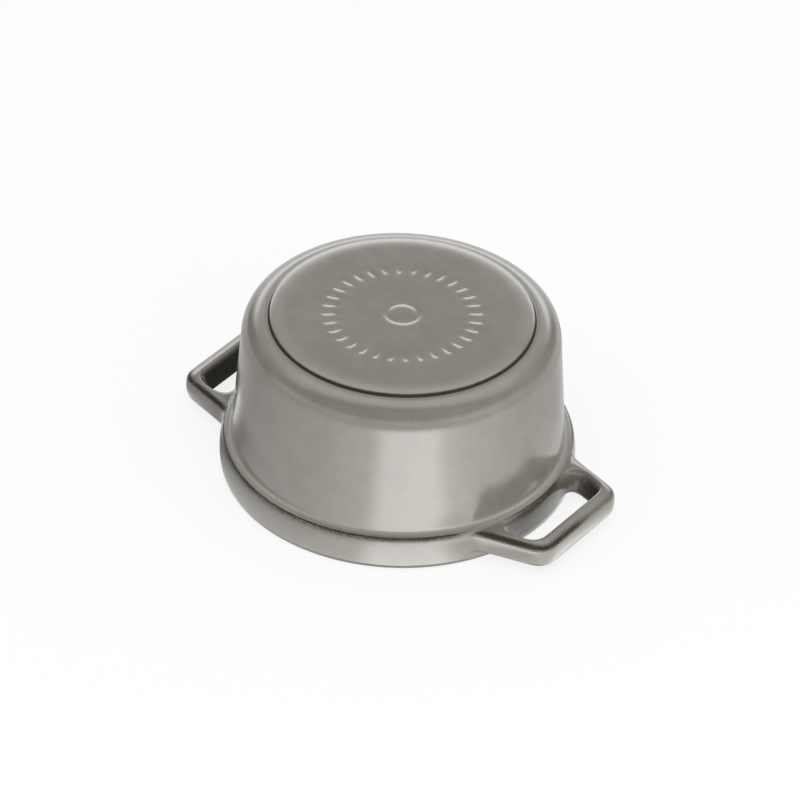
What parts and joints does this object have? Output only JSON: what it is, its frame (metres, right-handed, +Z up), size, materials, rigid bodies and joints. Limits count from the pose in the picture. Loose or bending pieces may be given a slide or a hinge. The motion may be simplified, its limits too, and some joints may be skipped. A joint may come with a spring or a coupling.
{
  "type": "mini cocotte",
  "caption": "Small round lidded pot of grey enamelled cast iron with loop handles at the rim, turned over to stand on its rim with the lid lying inside its collar.",
  "frame": {"origin": "centre of the pot's rim, on the surface that the turned-over pot and the lid both stand on", "axes": "+X through the handles, +Z up along the pot's axis towards its base, which is on top as in the picture"},
  "size_m": [0.1348, 0.105, 0.0534],
  "materials": {
    "pot_enamel": "glossy warm grey enamel on cast iron",
    "lid_enamel": "glossy warm grey enamel on cast iron",
    "knob_nickel": "satin nickel plate",
    "washer_steel": "plain steel",
    "screw_steel": "plain steel"
  },
  "bodies": {
    "lid": {"lid": "lid_enamel", "knob": "knob_nickel", "knob_washer": "washer_steel", "knob_screw": "screw_steel"},
    "pot": {"pot": "pot_enamel"}
  },
  "joints": [
    {"name": "pot_lift", "type": "slide", "parent": "lid", "child": "pot", "axis": [0, 0, 1], "range_m": [0, 0.09]}
  ]
}
